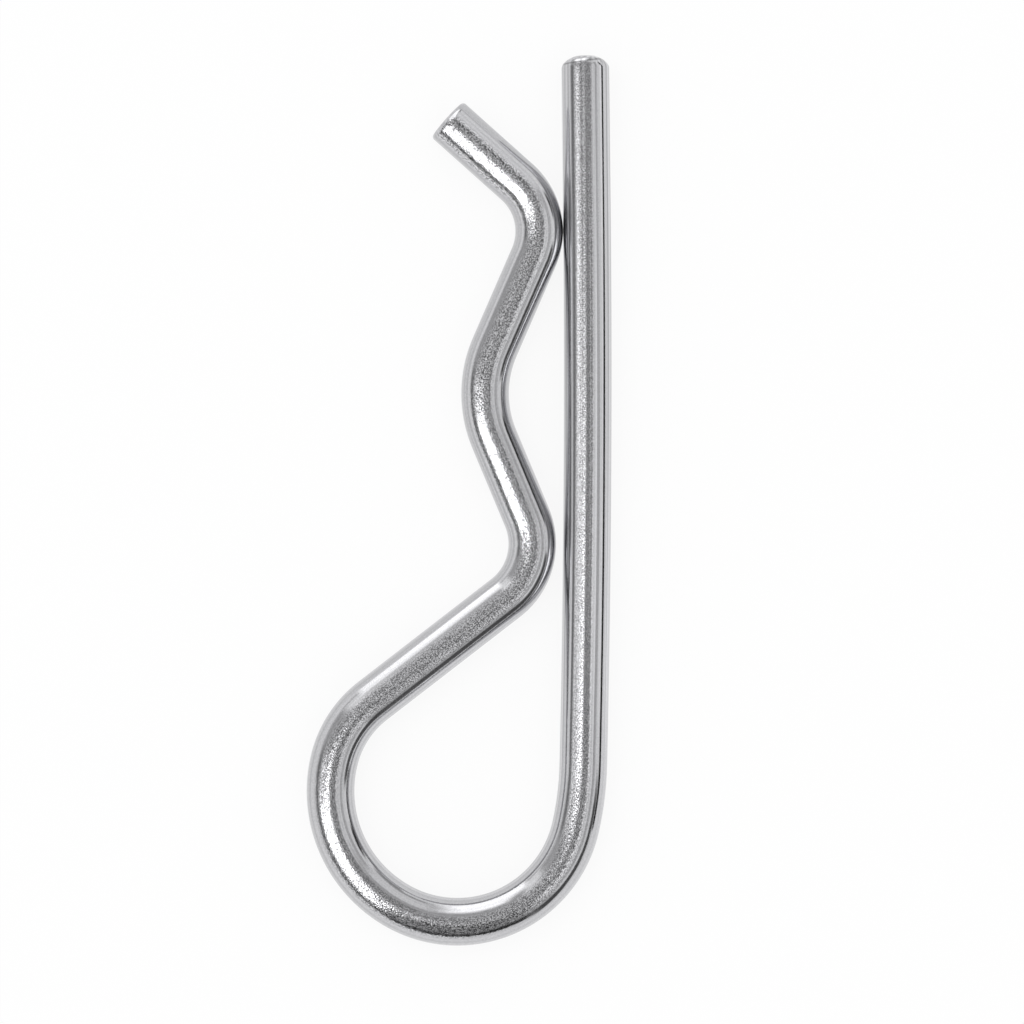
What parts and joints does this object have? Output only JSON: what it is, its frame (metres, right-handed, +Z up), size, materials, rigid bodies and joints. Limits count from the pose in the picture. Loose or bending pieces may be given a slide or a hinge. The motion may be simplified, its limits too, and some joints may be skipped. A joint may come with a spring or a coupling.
{
  "type": "hitch r clip pin",
  "caption": "One-piece spring wire R clip: a straight leg with a domed guide tip, a round eye, and a waved sprung arm that hugs a shaft.",
  "frame": {"origin": "under the middle of the footprint of the clip as it lies flat, on the plane that it lies on", "axes": "+Y along the guide tip of the straight leg, out of its end; +Z up, square to the plane of the wire; the sprung arm is on the -X side of the straight leg"},
  "size_m": [0.0258, 0.074, 0.004],
  "materials": {
    "wire": "bright zinc plated drawn spring wire, with fine lengthwise streaks"
  },
  "bodies": {
    "root": {"r_clip": "wire"}
  },
  "joints": []
}
